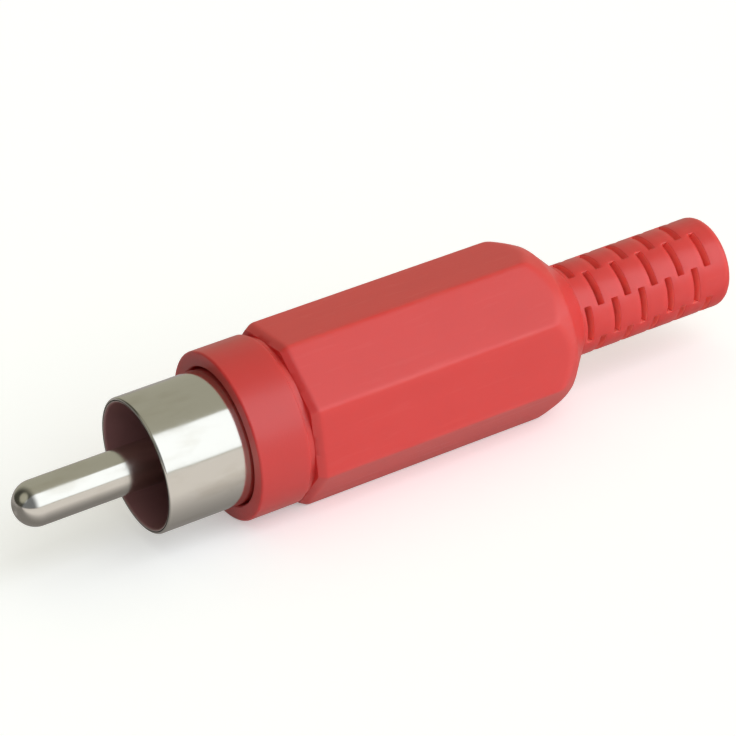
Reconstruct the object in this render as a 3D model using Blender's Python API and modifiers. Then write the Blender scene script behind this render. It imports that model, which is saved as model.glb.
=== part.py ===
"""A screw-on RCA plug: drawn metal insert, moulded hood with a slotted strain relief.

Metres, +Z up. The plug lies on one flat of its octagonal grip, with its axis along +X:
the pin points to -X and the cable end to +X. The world origin is on the surface that it
lies on, under the middle of its length.

Stations are distances along the axis from the shell's rim, positive towards the cable.
Each piece is drawn about its local Z axis and carried by an empty on the plug's axis.
"""

import math

import bmesh
import bpy
from mathutils import Matrix, Vector

MM = 0.001

# Fits
SEAT_GAP = 0.3 * MM             # between pieces that touch
RUN_CLEARANCE = 0.3 * MM        # hood over the insert

# Centre pin: a drawn tube, closed at its nose and flared over the solder tag
PIN_RADIUS = 1.6 * MM
PIN_REACH = 9.0 * MM            # nose in front of the shell's rim
PIN_WALL = 0.4 * MM
PIN_NOSE_FLAT = 0.42 * MM       # radius of the blunt tip
PIN_NOSE_DIMPLE = 0.12 * MM
PIN_BEAD_HEIGHT = 0.7 * MM      # rolled bead in front of the insulator
PIN_BEAD_LENGTH = 0.6 * MM
PIN_BEAD_ROUND = 0.27 * MM
PIN_FLARE_HEIGHT = 0.7 * MM
PIN_FLARE_LENGTH = 0.35 * MM

# Shell: a drawn cup stepped down to a threaded neck with a closed end
MOUTH_WIDTH = 2.84 * MM         # ring space round the pin, for the jack's collar
SHELL_WALL = 0.38 * MM
SHELL_SHOWN = 6.26 * MM         # in front of the hood
MOUTH_DEPTH = 7.0 * MM          # rim to insulator
NECK_STEP = 0.52 * MM           # shell's outside down to the neck's
NECK_LENGTH = 5.2 * MM
NECK_END_ROUND = 0.2 * MM
RIM_ROUND = 0.12 * MM

# Insulators
FLANGE_THICKNESS = 0.5 * MM     # front insulator's flange in the shell's step
SPIGOT_WALL = 0.45 * MM         # front insulator's sleeve through the neck's end
WASHER_THICKNESS = 0.8 * MM     # rear insulating washer

# Tags
SHEET = 0.3 * MM                # thickness of both tags
TAG_BEND = 0.35 * MM            # mid-surface radius where a strip leaves its ring
GROUND_RING_INSET = 0.65 * MM   # neck's outside in to the ring's edge
GROUND_STRIP_HALF_WIDTH = 1.3 * MM
GROUND_WAIST_HALF_WIDTH = 0.94 * MM
GROUND_WAIST_TAPER = 0.28       # share of the strip's length, at each end
CRADLE_LENGTH = 4.6 * MM
CRADLE_TO_TAPER = 4.8 * MM      # free length of the hood's cavity behind the cradle
CRADLE_FLANK = 0.74 * MM        # length over which the sheet rolls up into the cradle
CRADLE_WRAP = math.radians(212)
CRADLE_THROAT = 0.3             # share of the wrap where the strip meets the cradle
CRADLE_LIP = 0.8                # share of the wrap at the cradle's two ends
CENTRE_STRIP_HALF_WIDTH = 0.9 * MM
CENTRE_STRIP_LENGTH = 4.6 * MM
CENTRE_STRIP_SPARE = 0.1 * MM   # over the pin's flare, on top of a seat's gap
CENTRE_EYE_RADIUS = 0.45 * MM

# Hood: one moulding
COLLAR_WALL = 0.93 * MM         # over the shell, at the collar and at the grip's flats
GRIP_SIDES = 8
GRIP_EDGE_ROUND = 0.22 * MM
COLLAR_LENGTH = 3.8 * MM
COLLAR_ROUND = 0.15 * MM
GROOVE_DEPTH = 0.32 * MM        # below the collar, in front of the grip
GROOVE_LENGTH = 0.5 * MM
GRIP_LEAD_IN = 0.55 * MM        # sloping front end of the grip
GRIP_LENGTH = 19.0 * MM         # lead-in to shoulder
SHOULDER_SLOPE = 1.7 * MM       # length of the shoulder's shallow part
SHOULDER_DROP = 0.38 * MM       # below the flats, where the shoulder turns steeper
SHOULDER_STEEP = 2.15 * MM      # length of its steep part
SHOULDER_ROUND = 0.7 * MM
BOOT_WALL = 1.06 * MM
BOOT_LENGTH = 12.9 * MM
BOOT_END_ROUND = 0.75 * MM
CABLE_BORE_RADIUS = 2.3 * MM
CAVITY_STEP = 0.3 * MM          # thread bore down to the cavity over the tags
THREAD_RUN_OUT = 0.8 * MM       # hood's wide bore behind the neck
CAVITY_TAPER = 1.5 * MM
TAPER_TO_BOOT = 0.9 * MM        # cable bore starts this far in front of the boot

# Slots of the strain relief
SLOTS_PER_ROW = 4
SLOT_ROW_PITCH = 1.145 * MM
SLOT_WIDTH = 0.5 * MM           # along the axis
SLOT_ARC_HALF_ANGLE = math.radians(23.5)
FIRST_SLOT = 0.55 * MM          # shoulder's end to the middle of the first row
BOOT_PLAIN_END = 1.5 * MM       # least length left whole behind the last row

# Facets and cutters
ROUND_STEPS = 56
SMALL_STEPS = 36
ARC_STEPS = 4
SMALL_ARC_STEPS = 2
SHEET_STEPS = 12
SHARP_ANGLE = math.radians(28)
OVERCUT = 0.6 * MM              # how far a cutter reaches past what it cuts

# Stations that follow from the sizes
HOOD_FRONT = SHELL_SHOWN
STEP_INNER = MOUTH_DEPTH + FLANGE_THICKNESS + SEAT_GAP
STEP_OUTER = STEP_INNER + SHELL_WALL
NECK_END = STEP_OUTER + NECK_LENGTH
GROUND_FRONT = NECK_END + SEAT_GAP
GROUND_BACK = GROUND_FRONT + SHEET
WASHER_FRONT = GROUND_BACK + SEAT_GAP
WASHER_BACK = WASHER_FRONT + WASHER_THICKNESS
CENTRE_FRONT = WASHER_BACK + SEAT_GAP
CENTRE_BACK = CENTRE_FRONT + SHEET
PIN_TAIL = CENTRE_BACK + SEAT_GAP + PIN_FLARE_LENGTH
COLLAR_END = HOOD_FRONT + COLLAR_LENGTH
GRIP_FRONT = COLLAR_END + GROOVE_LENGTH
SHOULDER_FRONT = GRIP_FRONT + GRIP_LEAD_IN + GRIP_LENGTH
SHOULDER_BREAK = SHOULDER_FRONT + SHOULDER_SLOPE
SHOULDER_END = SHOULDER_BREAK + SHOULDER_STEEP
BOOT_END = SHOULDER_END + BOOT_LENGTH
TAPER_END = SHOULDER_END - TAPER_TO_BOOT
TAPER_START = TAPER_END - CAVITY_TAPER
CRADLE_FRONT = TAPER_START - CRADLE_TO_TAPER - CRADLE_LENGTH
SLOT_ROWS = 1 + int((BOOT_LENGTH - FIRST_SLOT - SLOT_WIDTH / 2 - BOOT_PLAIN_END) / SLOT_ROW_PITCH)

# Radii that follow from the sizes
PIN_HOLE_RADIUS = PIN_RADIUS + SEAT_GAP
SPIGOT_RADIUS = PIN_HOLE_RADIUS + SPIGOT_WALL
NECK_HOLE_RADIUS = SPIGOT_RADIUS + SEAT_GAP
SHELL_BORE_RADIUS = PIN_RADIUS + MOUTH_WIDTH
SHELL_RADIUS = SHELL_BORE_RADIUS + SHELL_WALL
NECK_RADIUS = SHELL_RADIUS - NECK_STEP
NECK_BORE_RADIUS = NECK_RADIUS - SHELL_WALL
GROUND_RING_RADIUS = NECK_RADIUS - GROUND_RING_INSET
GROUND_STRIP_DROP = GROUND_RING_RADIUS - SHEET / 2
WASHER_RADIUS = GROUND_STRIP_DROP - SHEET / 2 - SEAT_GAP
CENTRE_STRIP_RISE = PIN_RADIUS + PIN_FLARE_HEIGHT + SEAT_GAP + CENTRE_STRIP_SPARE + SHEET / 2
CENTRE_RING_RADIUS = CENTRE_STRIP_RISE + SHEET / 2
SEAT_BORE_RADIUS = SHELL_RADIUS + RUN_CLEARANCE
THREAD_BORE_RADIUS = NECK_RADIUS + RUN_CLEARANCE
CAVITY_RADIUS = THREAD_BORE_RADIUS - CAVITY_STEP
FLAT_RADIUS = SEAT_BORE_RADIUS + COLLAR_WALL
GRIP_CORNER_RADIUS = FLAT_RADIUS / math.cos(math.pi / GRIP_SIDES)
COLLAR_RADIUS = FLAT_RADIUS
GROOVE_RADIUS = COLLAR_RADIUS - GROOVE_DEPTH
BOOT_RADIUS = CABLE_BORE_RADIUS + BOOT_WALL

# The world origin is under the middle of the length
MIDDLE = (BOOT_END - PIN_REACH) / 2


def clear_scene():
    for old in list(bpy.data.objects):
        bpy.data.objects.remove(old, do_unlink=True)


def new_collection(name):
    collection = bpy.data.collections.new(name)
    bpy.context.scene.collection.children.link(collection)
    return collection


def new_material(name, colour, roughness, metallic=0.0):
    material = bpy.data.materials.new(name)
    material.use_nodes = True
    shader = material.node_tree.nodes["Principled BSDF"]
    shader.inputs["Base Color"].default_value = (*colour, 1.0)
    shader.inputs["Roughness"].default_value = roughness
    shader.inputs["Metallic"].default_value = metallic
    material.diffuse_color = (*colour, 1.0)
    return material


def new_object(name, mesh, collection, material=None):
    made = bpy.data.objects.new(name, mesh)
    collection.objects.link(made)
    made.parent = plug_axis
    if material is not None:
        mesh.materials.append(material)
    return made


def as_cutter(made):
    made.hide_render = True
    made.display_type = "WIRE"
    return made


def arc(centre, radius, start, end, steps=ARC_STEPS):
    """Points (radius, station) on an arc; angles from the outward direction to the cable end."""
    points = []
    for i in range(steps + 1):
        angle = start + (end - start) * i / steps
        points.append((centre[0] + radius * math.cos(angle), centre[1] + radius * math.sin(angle)))
    return points


def rounded_corner(before, corner, after, radius, steps=ARC_STEPS):
    """The corner of an outline replaced by an arc that touches both of its sides."""
    middle = Vector(corner)
    to_before = (Vector(before) - middle).normalized()
    to_after = (Vector(after) - middle).normalized()
    half = to_before.angle(to_after) / 2
    reach = radius / math.tan(half)
    centre = middle + (to_before + to_after).normalized() * radius / math.sin(half)
    first = middle + to_before * reach - centre
    last = middle + to_after * reach - centre
    points = []
    for i in range(steps + 1):
        way = first.lerp(last, i / steps)
        points.append(tuple(centre + way.normalized() * radius))
    return points


def turned(name, profile, collection, material=None, steps=ROUND_STEPS, turn=0.0, loop=False):
    """A profile of (radius, station) points, outer side from cable end to pin end, spun round Z."""
    mesh = bpy.data.meshes.new(name)
    points = []
    for radius, station in profile:
        points.append((radius * math.cos(turn), radius * math.sin(turn), station))
    edges = [(i, i + 1) for i in range(len(points) - 1)]
    if loop:
        edges.append((len(points) - 1, 0))
    mesh.from_pydata(points, edges, [])
    made = new_object(name, mesh, collection, material)
    spin = made.modifiers.new("Spin", "SCREW")
    spin.axis = "Z"
    spin.angle = 2 * math.pi
    spin.steps = steps
    spin.render_steps = steps
    spin.use_merge_vertices = True
    spin.merge_threshold = 0.000001
    return made


def combine(target, other, operation):
    change = target.modifiers.new(operation.title(), "BOOLEAN")
    change.operation = operation
    change.object = other
    as_cutter(other)


def settle(made):
    """Replace an object's modifiers with the mesh they make, shaded smooth between sharp edges."""
    bpy.context.view_layer.update()
    evaluated = made.evaluated_get(bpy.context.evaluated_depsgraph_get())
    mesh = bpy.data.meshes.new_from_object(evaluated)
    mesh.name = made.name
    made.modifiers.clear()
    made.data = mesh
    mesh.shade_smooth()
    mesh.set_sharp_from_angle(angle=SHARP_ANGLE)
    return made


def build_centre_pin():
    """A drawn tube with a blunt round nose, a bead before the insulator and a flared tail."""
    bore = PIN_RADIUS - PIN_WALL
    bead_back = MOUTH_DEPTH - SEAT_GAP
    bead_front = bead_back - PIN_BEAD_LENGTH
    bead_radius = PIN_RADIUS + PIN_BEAD_HEIGHT
    bead_round = min(PIN_BEAD_ROUND, 0.45 * PIN_BEAD_LENGTH)
    crown = bead_radius - bead_round
    flare_front = PIN_TAIL - PIN_FLARE_LENGTH
    flare_radius = PIN_RADIUS + PIN_FLARE_HEIGHT
    blunt = math.asin(PIN_NOSE_FLAT / PIN_RADIUS)
    nose_centre = PIN_RADIUS * math.cos(blunt) - PIN_REACH
    profile = arc((0.0, PIN_RADIUS - PIN_REACH), bore, -math.pi / 2, 0.0)
    profile += [(bore, PIN_TAIL), (flare_radius, PIN_TAIL), (flare_radius, flare_front)]
    profile += [(PIN_RADIUS, flare_front), (PIN_RADIUS, bead_back)]
    profile += arc((crown, bead_back - bead_round), bead_round, math.pi / 2, 0.0, SMALL_ARC_STEPS)
    profile += arc((crown, bead_front + bead_round), bead_round, 0.0, -math.pi / 2, SMALL_ARC_STEPS)
    profile += [(PIN_RADIUS, bead_front)]
    profile += arc((0.0, nose_centre), PIN_RADIUS, 0.0, blunt - math.pi / 2, 2 * ARC_STEPS)
    profile += [(0.0, PIN_NOSE_DIMPLE - PIN_REACH)]
    return settle(turned("centre_pin", profile, parts, nickel, steps=SMALL_STEPS))


def build_shell():
    """A drawn cup, stepped down to the neck that the hood screws onto, with a holed end."""
    rim = min(RIM_ROUND, 0.4 * SHELL_WALL)
    profile = [(NECK_HOLE_RADIUS, NECK_END)]
    profile += arc((NECK_RADIUS - NECK_END_ROUND, NECK_END - NECK_END_ROUND), NECK_END_ROUND,
                   math.pi / 2, 0.0, SMALL_ARC_STEPS)
    profile += [(NECK_RADIUS, STEP_OUTER)]
    profile += rounded_corner((NECK_RADIUS, STEP_OUTER), (SHELL_RADIUS, STEP_OUTER),
                              (SHELL_RADIUS, 0.0), rim, SMALL_ARC_STEPS)
    profile += arc((SHELL_RADIUS - rim, rim), rim, 0.0, -math.pi / 2, SMALL_ARC_STEPS)
    profile += arc((SHELL_BORE_RADIUS + rim, rim), rim, -math.pi / 2, -math.pi, SMALL_ARC_STEPS)
    profile += [(SHELL_BORE_RADIUS, STEP_INNER), (NECK_BORE_RADIUS, STEP_INNER)]
    profile += [(NECK_BORE_RADIUS, NECK_END - SHELL_WALL), (NECK_HOLE_RADIUS, NECK_END - SHELL_WALL)]
    return settle(turned("ground_shell", profile, parts, nickel, loop=True))


def build_insulators():
    """A flanged bush that fills the neck and lines its hole, and a washer behind the ground tag."""
    flange = SHELL_BORE_RADIUS - SEAT_GAP
    body = NECK_BORE_RADIUS - SEAT_GAP
    body_end = NECK_END - SHELL_WALL - SEAT_GAP
    flange_back = MOUTH_DEPTH + FLANGE_THICKNESS
    bush = [(PIN_HOLE_RADIUS, GROUND_BACK), (SPIGOT_RADIUS, GROUND_BACK), (SPIGOT_RADIUS, body_end)]
    bush += [(body, body_end), (body, flange_back), (flange, flange_back)]
    bush += [(flange, MOUTH_DEPTH), (PIN_HOLE_RADIUS, MOUTH_DEPTH)]
    settle(turned("front_insulator", bush, parts, black_plastic, steps=SMALL_STEPS, loop=True))
    washer = ring_profile(PIN_HOLE_RADIUS, WASHER_RADIUS, WASHER_FRONT, WASHER_BACK)
    settle(turned("rear_insulator", washer, parts, phenolic, steps=SMALL_STEPS, loop=True))


def strip_bend(station, drop):
    """A strip's mid-surface out of its ring's plane and round the bend, up to its straight run."""
    points = [(drop - TAG_BEND - SHEET, station)]
    for i in range(ARC_STEPS + 1):
        angle = math.pi / 2 * i / ARC_STEPS
        along = station + TAG_BEND * (1 - math.cos(angle))
        points.append((drop - TAG_BEND * (1 - math.sin(angle)), along))
    return points


def folded_sheet(name, rows, side):
    """A sheet from rows of (drop, station, half width, wrap); wrap bends a row round the axis.

    side is +1 for a strip under the axis and -1 for one above it.
    """
    bm = bmesh.new()
    grid = []
    for drop, station, half_width, wrap in rows:
        line = []
        for j in range(SHEET_STEPS + 1):
            reach = half_width * (2 * j / SHEET_STEPS - 1)
            if wrap > 0.0:
                radius = half_width / wrap
                angle = reach / radius
                place = (side * (drop - radius + radius * math.cos(angle)), radius * math.sin(angle))
            else:
                place = (side * drop, reach)
            line.append(bm.verts.new((place[0], place[1], station)))
        grid.append(line)
    for i in range(len(grid) - 1):
        for j in range(SHEET_STEPS):
            bm.faces.new((grid[i][j], grid[i][j + 1], grid[i + 1][j + 1], grid[i + 1][j]))
    mesh = bpy.data.meshes.new(name)
    bm.to_mesh(mesh)
    bm.free()
    sheet = new_object(name, mesh, guides)
    wall = sheet.modifiers.new("Wall", "SOLIDIFY")
    wall.thickness = SHEET
    wall.offset = 0.0
    wall.use_even_offset = True
    return sheet


def ring_profile(inner, outer, front, back):
    return [(inner, back), (outer, back), (outer, front), (inner, front)]


def build_ground_tag():
    """A ring behind the neck whose strip runs back under the wires to an open crimp cradle."""
    outline = ring_profile(NECK_HOLE_RADIUS, GROUND_RING_RADIUS, GROUND_FRONT, GROUND_BACK)
    ring = turned("ground_tag", outline, parts, tinned_steel, steps=SMALL_STEPS, loop=True)
    bend = strip_bend(GROUND_FRONT + SHEET / 2, GROUND_STRIP_DROP)
    rows = [(drop, place, GROUND_STRIP_HALF_WIDTH, 0.0) for drop, place in bend]
    straight = bend[-1][1]
    taper = (CRADLE_FRONT - straight) * GROUND_WAIST_TAPER
    rows.append((GROUND_STRIP_DROP, straight + taper, GROUND_WAIST_HALF_WIDTH, 0.0))
    rows.append((GROUND_STRIP_DROP, CRADLE_FRONT - taper, GROUND_WAIST_HALF_WIDTH, 0.0))
    spread = [(-CRADLE_FLANK, CRADLE_THROAT), (0.0, CRADLE_LIP), (CRADLE_FLANK, 1.0)]
    spread += [(CRADLE_LENGTH - CRADLE_FLANK, 1.0), (CRADLE_LENGTH, CRADLE_LIP)]
    for offset, share in spread:
        wrap = CRADLE_WRAP / 2 * share
        rows.append((GROUND_STRIP_DROP, CRADLE_FRONT + offset, GROUND_STRIP_DROP * wrap, wrap))
    strip = folded_sheet("ground_strip", rows, 1)
    combine(ring, strip, "UNION")
    return settle(ring)


def build_centre_tag():
    """A ring under the pin's flared tail, with a solder strip above the axis."""
    outline = ring_profile(PIN_HOLE_RADIUS, CENTRE_RING_RADIUS, CENTRE_FRONT, CENTRE_BACK)
    ring = turned("centre_tag", outline, parts, tinned_brass, steps=SMALL_STEPS, loop=True)
    bend = strip_bend(CENTRE_FRONT + SHEET / 2, CENTRE_STRIP_RISE)
    width = CENTRE_STRIP_HALF_WIDTH
    rows = [(rise, place, width, 0.0) for rise, place in bend]
    round_start = bend[-1][1] + CENTRE_STRIP_LENGTH - width
    for i in range(ARC_STEPS + 1):
        angle = math.pi / 2 * i / (ARC_STEPS + 1)
        station = round_start + width * math.sin(angle)
        rows.append((CENTRE_STRIP_RISE, station, width * math.cos(angle), 0.0))
    strip = folded_sheet("centre_strip", rows, -1)
    combine(ring, strip, "UNION")
    eye = bpy.data.meshes.new("centre_eye")
    bm = bmesh.new()
    turn = Matrix.Rotation(math.pi / 2, 4, "Y")
    place = Matrix.Translation((-CENTRE_STRIP_RISE, 0.0, round_start))
    bmesh.ops.create_cone(bm, cap_ends=True, segments=16, radius1=CENTRE_EYE_RADIUS,
                          radius2=CENTRE_EYE_RADIUS, depth=4 * SHEET, matrix=place @ turn)
    bm.to_mesh(eye)
    bm.free()
    combine(ring, new_object("centre_eye", eye, guides), "DIFFERENCE")
    return settle(ring)


def hood_grip():
    """The octagonal grip with its sloping front, cut off behind by the turned shoulder."""
    turn = math.pi / GRIP_SIDES
    front_corner = GROOVE_RADIUS / math.cos(turn)
    outline = [(0.0, SHOULDER_END), (GRIP_CORNER_RADIUS, SHOULDER_END)]
    outline += [(GRIP_CORNER_RADIUS, GRIP_FRONT + GRIP_LEAD_IN), (front_corner, GRIP_FRONT)]
    outline += [(0.0, GRIP_FRONT)]
    grip = turned("grip", outline, guides, steps=GRIP_SIDES, turn=turn)
    edges = grip.modifiers.new("Edge round", "BEVEL")
    edges.width = GRIP_EDGE_ROUND
    edges.segments = 2
    edges.limit_method = "ANGLE"
    edges.angle_limit = SHARP_ANGLE

    start = (GRIP_CORNER_RADIUS, SHOULDER_FRONT)
    turn_point = (FLAT_RADIUS - SHOULDER_DROP, SHOULDER_BREAK)
    foot = (BOOT_RADIUS, SHOULDER_END)
    clear = GRIP_CORNER_RADIUS + OVERCUT
    slope = (start[1] - turn_point[1]) / (start[0] - turn_point[0])
    wide = (clear, start[1] + (clear - start[0]) * slope)
    outline = [(0.0, SHOULDER_END), foot]
    outline += rounded_corner(foot, turn_point, start, SHOULDER_ROUND)
    outline += [wide, (clear, GRIP_FRONT - OVERCUT), (0.0, GRIP_FRONT - OVERCUT)]
    shoulder = turned("shoulder", outline, guides)
    combine(grip, shoulder, "INTERSECT")
    return settle(grip)


def hood_bore():
    """Seat for the shell, thread bore over the neck, cavity over the tags, taper and cable bore."""
    seat = STEP_OUTER + SEAT_GAP
    wide_end = NECK_END + THREAD_RUN_OUT
    outline = [(0.0, BOOT_END + OVERCUT), (CABLE_BORE_RADIUS, BOOT_END + OVERCUT)]
    outline += [(CABLE_BORE_RADIUS, TAPER_END), (CAVITY_RADIUS, TAPER_START), (CAVITY_RADIUS, wide_end)]
    outline += [(THREAD_BORE_RADIUS, wide_end), (THREAD_BORE_RADIUS, seat), (SEAT_BORE_RADIUS, seat)]
    outline += [(SEAT_BORE_RADIUS, HOOD_FRONT - OVERCUT), (0.0, HOOD_FRONT - OVERCUT)]
    return turned("hood_bore", outline, guides)


def boot_slots():
    """Rows of four slots right through the boot's wall, each row turned half a slot's spacing."""
    width = 2 * BOOT_RADIUS * math.sin(SLOT_ARC_HALF_ANGLE)
    inside = width / 2 + SEAT_GAP       # the cutters of one row stay clear of each other
    outside = BOOT_RADIUS + OVERCUT
    spacing = 2 * math.pi / SLOTS_PER_ROW
    bm = bmesh.new()
    for row in range(SLOT_ROWS):
        station = SHOULDER_END + FIRST_SLOT + row * SLOT_ROW_PITCH
        for slot in range(SLOTS_PER_ROW):
            angle = spacing * (slot + 0.5 * (row % 2))
            place = Matrix.Translation(((inside + outside) / 2, 0.0, station))
            size = Matrix.Diagonal((outside - inside, width, SLOT_WIDTH, 1.0))
            bmesh.ops.create_cube(bm, size=1.0, matrix=Matrix.Rotation(angle, 4, "Z") @ place @ size)
    mesh = bpy.data.meshes.new("boot_slots")
    bm.to_mesh(mesh)
    bm.free()
    return new_object("boot_slots", mesh, guides)


def build_hood():
    """Collar, octagonal grip, shoulder and slotted boot as one moulding, cored from both ends."""
    core_end = SHOULDER_FRONT
    end_round = min(BOOT_END_ROUND, 0.75 * BOOT_WALL)
    outline = [(0.0, BOOT_END)]
    outline += arc((BOOT_RADIUS - end_round, BOOT_END - end_round), end_round, math.pi / 2, 0.0)
    outline += [(BOOT_RADIUS, core_end), (GROOVE_RADIUS, core_end), (GROOVE_RADIUS, COLLAR_END)]
    outline += arc((COLLAR_RADIUS - COLLAR_ROUND, COLLAR_END - COLLAR_ROUND), COLLAR_ROUND,
                   math.pi / 2, 0.0, SMALL_ARC_STEPS)
    outline += arc((COLLAR_RADIUS - COLLAR_ROUND, HOOD_FRONT + COLLAR_ROUND), COLLAR_ROUND,
                   0.0, -math.pi / 2, SMALL_ARC_STEPS)
    outline += [(0.0, HOOD_FRONT)]
    hood = turned("hood", outline, parts, red_plastic)
    combine(hood, hood_grip(), "UNION")
    combine(hood, hood_bore(), "DIFFERENCE")
    combine(hood, boot_slots(), "DIFFERENCE")
    return settle(hood)


clear_scene()
parts = new_collection("rca_plug")
guides = new_collection("rca_plug_cutters")

plug_axis = bpy.data.objects.new("plug_axis", None)
parts.objects.link(plug_axis)
plug_axis.location = (-MIDDLE, 0.0, FLAT_RADIUS)
plug_axis.rotation_euler = (0.0, math.pi / 2, 0.0)

nickel = new_material("nickel", (0.62, 0.61, 0.57), 0.16, 1.0)
red_plastic = new_material("red_plastic", (0.72, 0.11, 0.085), 0.42)
black_plastic = new_material("black_plastic", (0.012, 0.011, 0.011), 0.5)
phenolic = new_material("phenolic", (0.23, 0.11, 0.05), 0.6)
tinned_steel = new_material("tinned_steel", (0.55, 0.55, 0.54), 0.32, 1.0)
tinned_brass = new_material("tinned_brass", (0.6, 0.58, 0.52), 0.3, 1.0)

build_centre_pin()
build_shell()
build_insulators()
build_ground_tag()
build_centre_tag()
build_hood()
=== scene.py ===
import math

import bmesh
import bpy
from mathutils import Matrix, Vector


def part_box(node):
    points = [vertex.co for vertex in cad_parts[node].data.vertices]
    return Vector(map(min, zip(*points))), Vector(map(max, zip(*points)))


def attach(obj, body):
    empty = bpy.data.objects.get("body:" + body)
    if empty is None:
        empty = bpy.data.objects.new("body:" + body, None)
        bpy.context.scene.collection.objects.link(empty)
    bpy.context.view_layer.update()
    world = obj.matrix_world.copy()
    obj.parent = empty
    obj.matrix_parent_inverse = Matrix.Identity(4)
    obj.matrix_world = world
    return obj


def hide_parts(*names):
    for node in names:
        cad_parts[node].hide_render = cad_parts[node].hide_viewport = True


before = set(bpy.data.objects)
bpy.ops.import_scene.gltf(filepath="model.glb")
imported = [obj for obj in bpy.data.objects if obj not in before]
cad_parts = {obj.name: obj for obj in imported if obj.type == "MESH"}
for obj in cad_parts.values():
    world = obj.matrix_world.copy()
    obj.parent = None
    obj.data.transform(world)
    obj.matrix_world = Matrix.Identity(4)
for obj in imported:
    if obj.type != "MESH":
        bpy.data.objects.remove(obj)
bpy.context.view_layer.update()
mm = 0.001
tiny = 0.001                    # places, angles and bends closer than this count as the same
mergeWithin = 0.0004 * mm
sharpAngle = math.radians(50)
pieceGap = 0.3                  # mm between pieces that touch in the real plug
noiseMiddle = 0.5               # what a noise node gives on average
plasticIor = 1.5

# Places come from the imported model. A station is a distance in mm behind the shell's rim.
# Sizes are in mm, except where a comment says so or the value is a share.
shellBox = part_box("ground_shell")
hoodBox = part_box("hood")
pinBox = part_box("centre_pin")
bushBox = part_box("front_insulator")
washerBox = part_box("rear_insulator")
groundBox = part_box("ground_tag")
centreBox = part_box("centre_tag")
rimX = shellBox[0].x
axisZ = (hoodBox[0].z + hoodBox[1].z) / 2


def stationOf(x):
    return (x - rimX) / mm


def widthOf(box):
    return (box[1].y - box[0].y) / mm


# Finishes: a socket that works in sums, and the nodes of one material

class Wire:
    def __init__(self, finish, socket):
        self.finish = finish
        self.socket = socket

    def combine(self, operation, first, second):
        return self.finish.node("ShaderNodeMath", {"operation": operation}, {0: first, 1: second})

    def __add__(self, other):
        return self.combine("ADD", self, other)

    def __sub__(self, other):
        return self.combine("SUBTRACT", self, other)

    def __mul__(self, other):
        return self.combine("MULTIPLY", self, other)

    def __radd__(self, other):
        return self.combine("ADD", other, self)

    def __rsub__(self, other):
        return self.combine("SUBTRACT", other, self)

    def __rmul__(self, other):
        return self.combine("MULTIPLY", other, self)

    def __neg__(self):
        return self.combine("MULTIPLY", self, -1.0)

    def step(self, low, high):
        limits = {"Value": self, "From Min": low, "From Max": high}
        return self.finish.node("ShaderNodeMapRange", {"interpolation_type": "SMOOTHSTEP"}, limits)


class Finish:
    def __init__(self, tree):
        self.tree = tree

    def put(self, socket, value):
        if isinstance(value, Wire):
            self.tree.links.new(value.socket, socket)
        else:
            socket.default_value = value

    def node(self, kind, settings, values, output=0):
        made = self.tree.nodes.new(kind)
        for name, setting in settings.items():
            setattr(made, name, setting)
        for name, value in values.items():
            self.put(made.inputs[name], value)
        return Wire(self, made.outputs[output])

    def place(self, scale=(1.0, 1.0, 1.0)):
        where = self.node("ShaderNodeTexCoord", {}, {}, "Object")
        return self.node("ShaderNodeMapping", {}, {"Vector": where, "Scale": scale})

    def noise(self, where, scale=1.0, detail=2.0):
        return self.node("ShaderNodeTexNoise", {}, {"Vector": where, "Scale": scale, "Detail": detail})

    def mask(self, name):
        return self.node("ShaderNodeAttribute", {"attribute_name": name}, {}, "Fac")

    def rayIs(self, kind):
        return self.node("ShaderNodeLightPath", {}, {}, "Is " + kind + " Ray")

    def part(self, way, axis):
        return self.node("ShaderNodeSeparateXYZ", {}, {"Vector": way}, axis)

    def blend(self, amount, first, second):
        return self.node("ShaderNodeMix", {"data_type": "RGBA"}, {0: amount, 6: first, 7: second}, 2)

    def bump(self, height, distance):
        return self.node("ShaderNodeBump", {}, {"Height": height, "Distance": distance})


def newFinish(name, fixed):
    material = bpy.data.materials.new(name)
    material.use_nodes = True
    shader = material.node_tree.nodes["Principled BSDF"]
    for socket, value in fixed.items():
        shader.inputs[socket].default_value = value
    return material, Finish(material.node_tree), shader.inputs


redMoulding = {
    "body": (0.70, 0.046, 0.042, 1.0),
    "deep": (0.62, 0.032, 0.030, 1.0),
    "rubbed": (0.78, 0.13, 0.11, 1.0),
    "paintedFrontShade": (0.58, 0.036, 0.034, 1.0),     # painted shade: a deeper red on the collar and lead-in, where less light falls towards the pin's end
    "paintedThroughLight": (0.92, 0.19, 0.16, 1.0),      # painted light: a lighter red in the boot's slots and bore, for light that comes through the wall
    "paintedFrontShadeShare": 0.85,
    "cloudShare": 0.5,          # how far each takes the body to the deep colour
    "flowShare": 0.35,
    "wearShare": 0.2,           # how far each takes it to the rubbed one
    "scratchShare": 0.05,
    "roughness": 0.38,
    "grainRoughness": 0.08,
    "wearRoughness": 0.15,      # for each part of rubbed colour
    "scratchPolish": 0.05,
    "coat": 0.25,
    "coatRoughness": 0.25,
    "glowWeight": 0.6,          # light that passes through the soft plastic
    "glowDepth": 1.2 * mm,
    "glowReach": (1.0, 0.25, 0.2),
    "cloudScale": 210.0,        # per metre, as all the scales here
    "cloudHeight": 1.5,         # beside the grain's
    "flowScale": (90.0, 700.0, 700.0),
    "scratchScale": (260.0, 2600.0, 2600.0),
    "scratchLevels": (0.60, 0.66),
    "wearLevels": (0.38, 0.62),
    "grainScale": 8200.0,
    "grainDepth": 0.006 * mm,
}


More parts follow.
